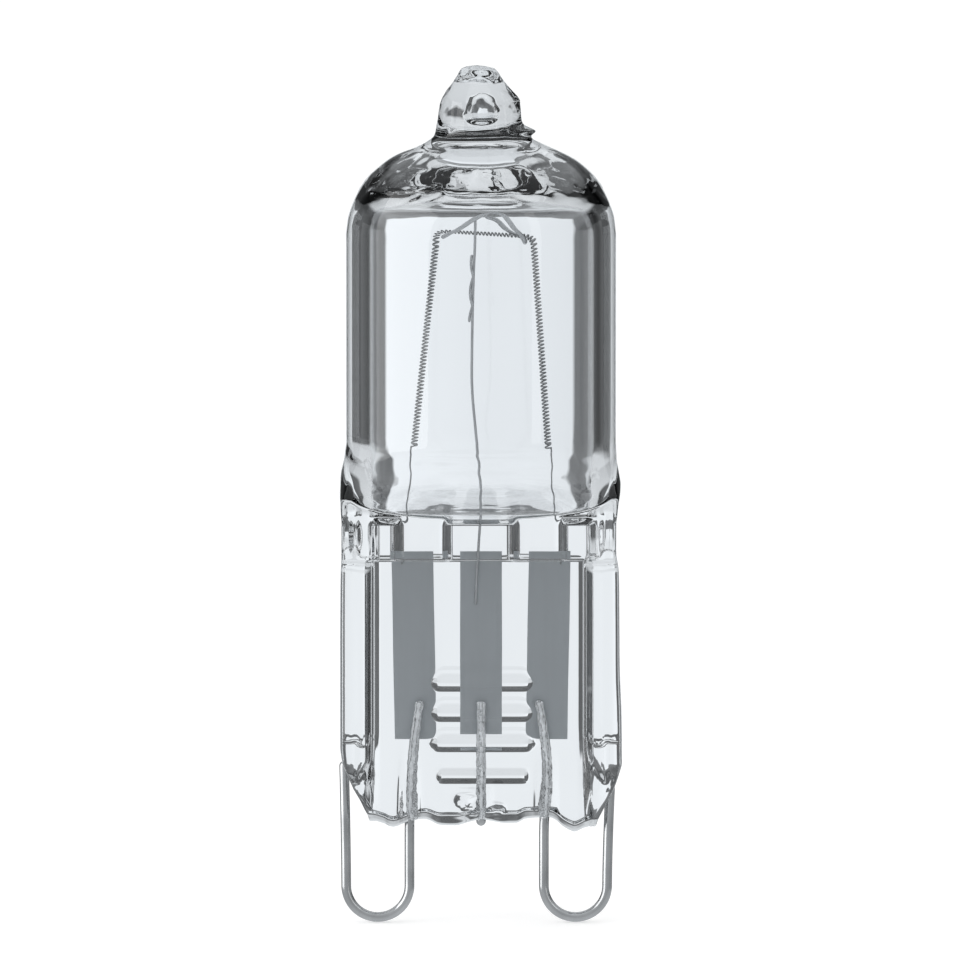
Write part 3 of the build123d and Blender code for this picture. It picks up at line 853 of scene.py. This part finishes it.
class BULB_OT_filament(Operator):
    """Makes the coiled filament and its two tails"""

    bl_idname = "bulb.filament"
    bl_label = "Filament"

    def execute(self, context):
        sizes = context.scene.bulb_wire
        y = COIL_Y
        foot, top = 21.7, 31.6
        route = [(-3.06, y, foot), (-1.98, y, top), (2.38, y, top - 0.37), (3.06, y, foot)]
        axis = rounded_path(route, 0.45, 24)
        length = np.concatenate([[0], np.cumsum(np.linalg.norm(np.diff(axis, axis=0), axis=1))])
        turns = round(length[-1] / sizes.pitch)
        per_turn = 16
        place = np.linspace(0, length[-1], turns * per_turn + 1)
        angle = 2 * pi * np.arange(len(place)) / per_turn
        # The front half of each turn lies nearly level, and the back half climbs
        place = np.clip(place - 0.8 * sizes.pitch / (2 * pi) * (np.cos(angle) - 1), 0, length[-1])
        centre = np.stack([np.interp(place, length, axis[:, k]) for k in range(3)], 1)
        ahead = np.gradient(smoothed(centre, per_turn // 2), axis=0)
        ahead /= np.linalg.norm(ahead, axis=1, keepdims=True)
        outward = np.cross((0, 1, 0), ahead)
        radius = (sizes.coil - sizes.strand) / 2
        wound = centre - outward * (radius * np.cos(angle))[:, None]
        wound[:, 1] += radius * np.sin(angle)
        on_foil = FOIL_FRONT - sizes.strand / 2
        left = rounded_path([
            (-3.6, on_foil, 16.4), (-3.48, on_foil, 17.4), (-3.3, y, 18.45), (-3.42, y, 19.2),
            tuple(wound[0] + (0, 0, 0.02)),
        ], 0.3)
        right = rounded_path([
            (3.62, on_foil, 16.4), (3.62, on_foil, 17.3), (3.35, y, 18.5), (3.35, y, 19.4),
            tuple(wound[-1] + (0, 0, 0.02)),
        ], 0.3)
        shells = [tube(wound, sizes.strand / 2, 6)]
        shells += [tube(path, sizes.strand / 2, 8) for path in (left, right)]
        points, faces = join(shells)
        grey = scaled(context.scene.bulb_finish.tungsten, 0.7)
        dark = wire_metal("filament_tungsten", grey, (0.35, 0.55))
        add_piece("filament_coil", points, faces, ["filament"], dark)
        return {"FINISHED"}


class BULB_OT_supports(Operator):
    """Makes the hook, the support wire and the short wire twisted on it"""

    bl_idname = "bulb.supports"
    bl_label = "Hook and support wires"

    def execute(self, context):
        sizes = context.scene.bulb_wire
        finish = context.scene.bulb_finish
        low, high = (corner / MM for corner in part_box("filament_hook"))
        front, back = low.y + sizes.hook / 2, high.y - sizes.hook / 2
        hook = rounded_path([
            (-1.7, front, 31.2), (-0.6, front, 32.1), (0.55, front, 32.85), (1.0, front, 32.55),
            (1.75, front, 31.45), (2.03, (front + back) / 2, 30.93), (1.95, back, 31.1),
            (1.46, back, 31.4), (0.72, back, 32.25), (0.3, back - 0.2, 32.42),
        ], 0.5, 10)
        grey = wire_metal("hook_tungsten", finish.tungsten, (0.22, 0.38))
        points, faces = tube(hook, sizes.hook / 2, sizes.sides)
        add_piece("hook", points, faces, ["filament_hook"], grey)
        y = FOIL_FRONT - sizes.support / 2
        up = coil_low.y - 0.08
        support = rounded_path([
            (-0.24, y, 14.6), (-0.2, y, 15.9), (0.0, y, 19.0), (-0.05, y, 20.3), (-0.26, y, 22.6),
            (-0.43, y, 24.4), (-0.4, y * 0.5, 27.3), (-0.33, up, 29.9), (-0.27, up, 30.9),
            (-0.26, up, 32.2),
        ], 1.2, 10)
        points, faces = tube(support, sizes.support / 2, 16)
        add_piece("support", points, faces, ["support_wire"], grey)
        # The splice lies at the support wire's left and winds round it a little
        along = np.linspace(0, 1, 60)
        twist = 2.2 * 2 * pi * along
        beside = np.interp(along, [0, 1], [-0.4, -0.31])
        depth = np.interp(along, [0, 1], [y * 0.5, up])
        middle = np.stack([beside, depth, 27.45 + 2.95 * along], 1)
        away = sizes.support * 1.02
        splice = middle + np.stack(
            [-away * np.abs(np.cos(twist * 0.5)) - 0.01, away * np.sin(twist), 0 * along], 1
        )
        points, faces = tube(splice, sizes.support / 2, 14)
        add_piece("splice", points, faces, ["support_splice"], grey)
        return {"FINISHED"}


class BULB_OT_foils(Operator):
    """Makes the three sealing foils"""

    bl_idname = "bulb.foils"
    bl_label = "Sealing foils"

    def execute(self, context):
        material = foil_metal(context.scene.bulb_finish)
        for name in ("foil_left", "foil_middle", "foil_right"):
            low, high = (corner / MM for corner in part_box(name))
            lean = (high.x - low.x - FOIL_WIDTH) / (high.z - low.z)
            towards = {"foil_left": 1, "foil_middle": 0, "foil_right": -1}[name]
            across = np.linspace(-1, 1, 25)
            down = np.linspace(0, 1, 60)
            middle, half = (low.y + high.y) / 2, (high.y - low.y) / 2
            centre = (low.x + high.x) / 2
            rows = []
            for t in down:
                z = low.z + 0.02 + (high.z - low.z - 0.04) * t
                x0 = centre - towards * lean * (high.z - low.z) * (t - 0.5)
                x = x0 + FOIL_WIDTH / 2 * (1 - 0.006 * sin(9 * t + towards)) * across
                # The long edges are etched down to a quarter of the thickness
                thick = half * (1 - 0.75 * np.clip((np.abs(across) - 0.74) / 0.26, 0, 1))
                front = np.stack([x, middle - thick, np.full_like(x, z)], 1)
                back = np.stack([x, middle + thick, np.full_like(x, z)], 1)[::-1]
                rows.append(np.concatenate([front, back]))
            points = np.array(rows).reshape(-1, 3).tolist()
            ring = 2 * len(across)
            faces = ring_faces(len(down), ring)
            last = (len(down) - 1) * ring
            for j in range(len(across) - 1):
                facing = ring - 1 - j
                faces.append([j + 1, j, facing, facing - 1])
                faces.append([last + j, last + j + 1, last + facing - 1, last + facing])
            add_piece(f"{name}_sheet", points, faces, [name], material, smooth=False)
        return {"FINISHED"}


# Contact loops: the way inwards, how far the sealed stretch stands off at three heights, the height
# of the free end, and how far that end leans
LOOPS = {
    "contact_loop_left": (1, (0.45, 0.2, 0.06), 7.15, -0.09),
    "contact_loop_right": (-1, (-0.22, 0.1, 0.16), 6.1, 0.13),
}
LOOP_BEND = 1.44


class BULB_OT_contacts(Operator):
    """Makes the two contact loops and the cropped middle lead"""

    bl_idname = "bulb.contacts"
    bl_label = "Contact wires"

    def execute(self, context):
        sizes = context.scene.bulb_wire
        finish = context.scene.bulb_finish
        bright = wire_metal("contact_wire", finish.contact, (0.12, 0.2), depth=1.5e-6)
        rough = wire_metal("sealed_wire", scaled(finish.contact, 1.75), (0.06, 0.16), (1, 1, 0.5), 2.5e-5)
        for name, (inward, shift, free_end, splay) in LOOPS.items():
            low, high = (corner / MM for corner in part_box(name))
            outer = low.x + WIRE_R if inward > 0 else high.x - WIRE_R
            middle = outer + inward * LOOP_BEND
            inner = middle + inward * LOOP_BEND
            lead = [
                (inner + shift[0], 0, high.z - 0.06), (inner + shift[1], 0, 8.1),
                (inner + shift[2], 0, 6.6), (inner, 0, 4.6), (inner, 0, LOOP_BEND + WIRE_R),
            ]
            path = list(finer(rounded_path(lead, 0.8, 6), 0.09))[:-1]
            path += [
                (middle + inward * LOOP_BEND * cos(a), 0, LOOP_BEND + WIRE_R - LOOP_BEND * sin(a))
                for a in np.linspace(0, pi, 40)
            ]
            rise = free_end - LOOP_BEND - WIRE_R
            path += [
                (outer + splay * t**1.5, 0, LOOP_BEND + WIRE_R + rise * t)
                for t in np.linspace(0, 1, 12)[1:]
            ]
            points, faces = tube(path, WIRE_R, sizes.sides)
            piece = add_piece(f"{name}_wire", points, faces, [name], bright)
            self.roughen(piece, rough, inner)
        stub = [(0.0, 0, z) for z in np.linspace(4.62, 9.9, 60)]
        points, faces = tube(stub, WIRE_R, sizes.sides)
        piece = add_piece("middle_stub", points, faces, ["middle_lead"], bright)
        self.roughen(piece, rough, 0.0)
        return {"FINISHED"}

    def roughen(self, piece, material, middle):
        """Gives the stretch that is sealed in the glass a lumpy, shinier surface."""
        mesh = piece.data
        mesh.materials.append(material)
        points = np.array([vertex.co for vertex in mesh.vertices]) / MM
        sealed = (points[:, 2] > 4.75) & (np.abs(points[:, 0] - middle) < 1.2)
        lumps = fractal(points * (1, 1, 0.6), 0.16, 3)
        out = points * (1, 1, 0) - (middle, 0, 0)
        out /= np.maximum(np.linalg.norm(out, axis=1, keepdims=True), 1e-6)
        points += out * (0.03 * lumps * sealed)[:, None]
        mesh.vertices.foreach_set("co", (points * MM).ravel())
        for face in mesh.polygons:
            if all(sealed[corner] for corner in face.vertices):
                face.material_index = 1
        mesh.update()


def grey_level(level):
    """A grey of the screen as light: 0 to 255 in, linear out."""
    v = level / 255
    return ((v + 0.055) / 1.055) ** 2.4 if level > 10 else 0.0


# The room's tones round the bulb: angle from straight behind it, in degrees, and screen grey
ROUND_TONES = (
    (-180, 206), (-150, 214), (-84, 214), (-66, 215), (-56, 215), (-53, 55), (-48, 66), (-43, 80),
    (-37, 92), (-31, 104), (-26, 92), (-20, 84), (-14, 86), (-12.9, 90), (-12.7, 254), (-5, 250),
    (0, 244), (11.5, 240), (11.7, 112), (17, 84), (25, 84), (33, 82), (37, 58), (40, 26), (44, 26),
    (47, 52), (50.5, 64), (53, 205), (66, 215), (84, 176), (120, 180), (150, 198),
)
# The same by height over the horizon, which darkens the tones behind the bulb
HEIGHT_TONES = (
    (-90, 235), (-60, 230), (-34, 226), (-20, 224), (-13, 240), (-9, 255), (5.6, 255), (6.1, 122),
    (12, 104), (16, 76), (20.5, 76), (23, 140), (28, 200), (90, 225),
)
# Light from far above and below, which reaches every side, and the front half with no dark band
FAR_TONES = ((-90, 235), (-48, 228), (-12, 214), (-7.8, 0), (21, 0), (27, 210), (90, 250))
FRONT_TONES = ((-180, 255), (-80, 255), (-72, 0), (72, 0), (80, 255), (180, 255))


# The room's light is a little blue
ROOM_TINT = (0.934, 0.971, 1.0)
# What the camera and the lamps point at, and the lamps: place, width and height, in metres
AIM = Vector((0.00018, 0, 0.01994))
LAMPS = {
    "key": ((-0.53, -0.16, 0.16), (0.62, 0.55)),
    "fill": ((0.45, -0.40, 0.20), (0.10, 0.50)),
}
SENSOR_WIDTH = 36


class BULB_OT_stage(Operator):
    """Makes the floor, the light of the room, the lamps and the camera"""

    bl_idname = "bulb.stage"
    bl_label = "Studio"

    def execute(self, context):
        scene = context.scene
        studio = scene.bulb_studio
        scene.view_settings.view_transform = "Standard"
        self.room(scene)
        self.floor(scene)
        for name, (place, size) in LAMPS.items():
            data = bpy.data.lights.new(name, "AREA")
            data.energy = getattr(studio, name)
            data.shape = "RECTANGLE"
            data.size, data.size_y = size
            lamp = bpy.data.objects.new(name, data)
            lamp.location = place
            lamp.rotation_euler = (AIM - Vector(place)).to_track_quat("-Z", "Y").to_euler()
            lamp.visible_transmission = False
            scene.collection.objects.link(lamp)
        data = bpy.data.cameras.new("camera")
        camera = bpy.data.objects.new("camera", data)
        data.sensor_width = SENSOR_WIDTH
        data.lens = SENSOR_WIDTH * studio.distance / studio.frame_height
        data.clip_start = 0.01
        to_camera = Vector((0, -cos(studio.elevation), sin(studio.elevation)))
        camera.location = AIM + studio.distance * to_camera
        camera.rotation_euler = (AIM - camera.location).to_track_quat("-Z", "Y").to_euler()
        scene.collection.objects.link(camera)
        scene.camera = camera
        return {"FINISHED"}

    def room(self, scene):
        """White to the camera; to glass and metal, a white panel behind the bulb in a grey room."""
        world = bpy.data.worlds.new("room")
        world.use_nodes = True
        scene.world = world
        tree = world.node_tree
        node, link = tree.nodes.new, tree.links.new
        background = tree.nodes["Background"]
        split = node("ShaderNodeSeparateXYZ")
        link(node("ShaderNodeTexCoord").outputs["Generated"], split.inputs[0])
        around = node("ShaderNodeMath")
        around.operation = "ARCTAN2"
        link(split.outputs["X"], around.inputs[0])
        link(split.outputs["Y"], around.inputs[1])
        height = node("ShaderNodeMath")
        height.operation = "ARCSINE"
        link(split.outputs["Z"], height.inputs[0])
        behind = self.tone_by_angle(tree, around, ROUND_TONES, 180)
        by_height = self.tone_by_angle(tree, height, HEIGHT_TONES, 90)
        in_front = self.tone_by_angle(tree, around, FRONT_TONES, 180)
        far = self.tone_by_angle(tree, height, FAR_TONES, 90)
        band = self.blend(tree, "LIGHTEN", by_height, in_front)
        walls = self.blend(tree, "LIGHTEN", self.blend(tree, "DARKEN", behind, band), far)
        # Glass and metal see the panel and the grey of the room; the camera sees plain white
        paths = node("ShaderNodeLightPath")
        mirrored = node("ShaderNodeMath")
        mirrored.operation = "MAXIMUM"
        link(paths.outputs["Is Glossy Ray"], mirrored.inputs[0])
        link(paths.outputs["Is Transmission Ray"], mirrored.inputs[1])
        lit = self.blend(tree, "MIX", None, walls, mirrored.outputs[0])
        lit.node.inputs["A"].default_value = (0.85, 0.85, 0.85, 1)
        seen = self.blend(tree, "MIX", lit, None, paths.outputs["Is Camera Ray"])
        seen.node.inputs["B"].default_value = (1, 1, 1, 1)
        link(seen, background.inputs["Color"])

    def tone_by_angle(self, tree, angle, table, reach):
        """A grey that a table gives for an angle, in degrees from -reach to reach."""
        share = tree.nodes.new("ShaderNodeMapRange")
        share.inputs["From Min"].default_value = radians(-reach)
        share.inputs["From Max"].default_value = radians(reach)
        tree.links.new(angle.outputs[0], share.inputs["Value"])
        tones = tree.nodes.new("ShaderNodeValToRGB")
        stops = tones.color_ramp.elements
        while len(stops) < len(table):
            stops.new(0.5)
        for stop, (degrees, _) in zip(stops, table):
            stop.position = (degrees + reach) / (2 * reach)
        for stop, (_, level) in zip(stops, table):
            stop.color = (*(grey_level(level) * part for part in ROOM_TINT), 1)
        tree.links.new(share.outputs["Result"], tones.inputs["Fac"])
        return tones.outputs["Color"]

    def blend(self, tree, kind, first, second, factor=None):
        """Blends two colours in one of Blender's ways."""
        mix = tree.nodes.new("ShaderNodeMix")
        mix.data_type = "RGBA"
        mix.blend_type = kind
        mix.inputs["Factor"].default_value = 1
        for socket, source in (("A", first), ("B", second), ("Factor", factor)):
            if source is not None:
                tree.links.new(source, mix.inputs[socket])
        return mix.outputs["Result"]

    def floor(self, scene):
        """A pale floor that is white to the camera and keeps the bulb's shadow."""
        reach = 3.0
        low = cad_box[0][2] - 0.00002
        mesh = bpy.data.meshes.new("floor")
        corners = [
            (-reach, -reach, low), (reach, -reach, low), (reach, reach, low), (-reach, reach, low),
        ]
        mesh.from_pydata(corners, [], [(0, 1, 2, 3)])
        floor = bpy.data.objects.new("floor", mesh)
        scene.collection.objects.link(floor)
        floor.visible_transmission = False
        floor.visible_glossy = False
        material, tree, shader = new_material("pale_floor")
        shader.inputs["Base Color"].default_value = (0.8, 0.8, 0.8, 1)
        shader.inputs["Roughness"].default_value = 0.9
        glow = tree.nodes.new("ShaderNodeLightPath")
        shader.inputs["Emission Color"].default_value = (0.35, 0.35, 0.35, 1)
        tree.links.new(glow.outputs["Is Camera Ray"], shader.inputs["Emission Strength"])
        mesh.materials.append(material)


STEPS = (
    ("capsule", "Glass capsule"),
    ("filament", "Filament"),
    ("supports", "Hook and support wires"),
    ("foils", "Sealing foils"),
    ("contacts", "Contact wires"),
    ("stage", "Studio"),
)


class BULB_PT_pieces(Panel):
    """Buttons for the bulb's pieces and its studio"""

    bl_idname = "BULB_PT_pieces"
    bl_label = "Halogen capsule bulb"
    bl_space_type = "VIEW_3D"
    bl_region_type = "UI"
    bl_category = "Bulb"

    def draw(self, context):
        for group in ("bulb_glass", "bulb_wire", "bulb_finish", "bulb_studio"):
            settings = getattr(context.scene, group)
            box = self.layout.box()
            for name in settings.bl_rna.properties.keys():
                if name not in {"rna_type", "name"}:
                    box.prop(settings, name)
        for step, label in STEPS:
            self.layout.operator(f"bulb.{step}", text=label)


GROUPS = {
    "bulb_glass": GlassSizes,
    "bulb_wire": WireSizes,
    "bulb_finish": Finishes,
    "bulb_studio": Studio,
}
CLASSES = (
    *GROUPS.values(),
    BULB_OT_capsule,
    BULB_OT_filament,
    BULB_OT_supports,
    BULB_OT_foils,
    BULB_OT_contacts,
    BULB_OT_stage,
    BULB_PT_pieces,
)


def register():
    """Adds the operators that make the pieces, the panel and the settings."""
    for cls in CLASSES:
        bpy.utils.register_class(cls)
    for name, group in GROUPS.items():
        setattr(bpy.types.Scene, name, PointerProperty(type=group))


def unregister():
    """Takes them away again."""
    for name in GROUPS:
        delattr(bpy.types.Scene, name)
    for cls in reversed(CLASSES):
        bpy.utils.unregister_class(cls)


def main():
    """Makes every piece and the studio."""
    register()
    for step, _ in STEPS:
        getattr(bpy.ops.bulb, step)()


if __name__ == "__main__":
    main()
